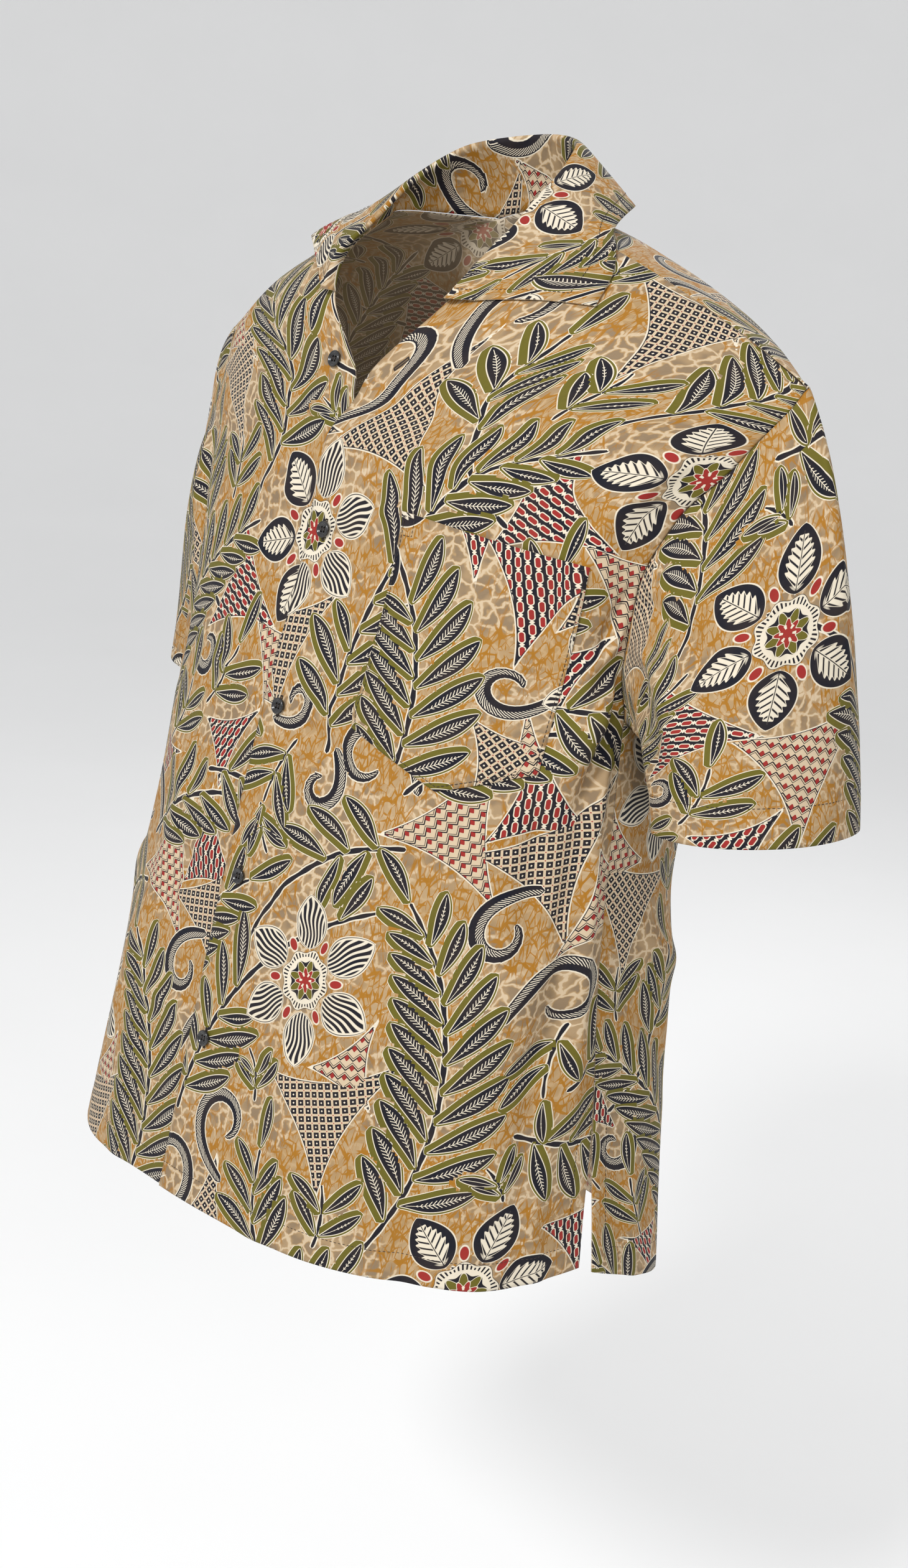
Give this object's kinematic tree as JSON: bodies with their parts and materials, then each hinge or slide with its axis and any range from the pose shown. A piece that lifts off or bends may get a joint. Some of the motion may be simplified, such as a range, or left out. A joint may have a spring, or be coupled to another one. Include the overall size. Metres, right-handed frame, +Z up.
{
  "type": "short-sleeve shirt",
  "caption": "Short-sleeve printed cotton shirt with an open turned-over collar, a chest pocket and buttons down the front, held in its worn form.",
  "frame": {"origin": "middle of the neck opening, where the shirt hangs on its wearer", "axes": "+X to the wearer's left, -Y to the front, +Z up"},
  "size_m": [0.6447, 0.3391, 0.7858],
  "materials": {
    "cloth": "printed plain-weave cotton, matt",
    "button": "polished"
  },
  "bodies": {
    "root": {"front_left": "cloth", "front_right": "cloth", "back": "cloth", "sleeve_left": "cloth", "sleeve_right": "cloth", "collar": "cloth", "pocket": "cloth", "button_1": "button", "button_2": "button", "button_3": "button", "button_4": "button", "button_5": "button"}
  },
  "joints": []
}
